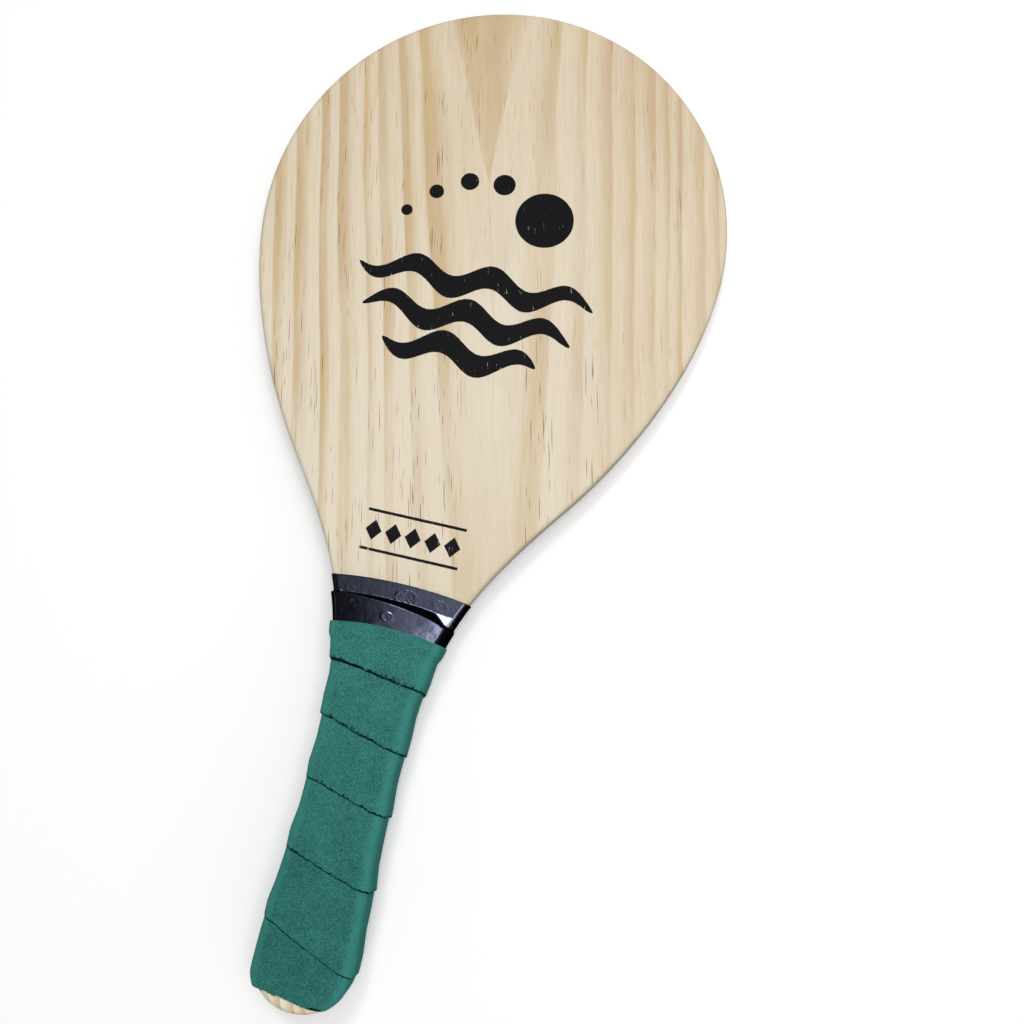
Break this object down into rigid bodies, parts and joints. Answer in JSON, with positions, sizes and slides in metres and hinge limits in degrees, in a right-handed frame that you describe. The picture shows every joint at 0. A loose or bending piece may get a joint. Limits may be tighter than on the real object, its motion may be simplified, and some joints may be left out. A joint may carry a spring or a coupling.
{
  "type": "frescobol racket",
  "caption": "Wooden beach racket: flat egg-shaped pine blade in one piece with its tongue, glued cheeks, black taped neck and a wound green grip.",
  "frame": {"origin": "under the middle of the racket's length and width, in the plane of the lowest face of the grip", "axes": "+Y along the racket from the butt to the blade's tip, +Z out of the blade's front face, +X across the blade"},
  "size_m": [0.1994, 0.424, 0.0289],
  "materials": {
    "board_wood": "sanded pine under a thin clear coat, satin",
    "cheek_wood": "bare sanded pine, matt",
    "collar_vinyl": "glossy black adhesive tape with small wrinkles",
    "grip_fabric": "green brushed grip tape, matt, with a slightly frayed edge"
  },
  "bodies": {
    "root": {"blade_board": "board_wood", "front_cheek": "cheek_wood", "back_cheek": "cheek_wood", "collar_tape": "collar_vinyl", "grip_tape": "grip_fabric"}
  },
  "joints": []
}
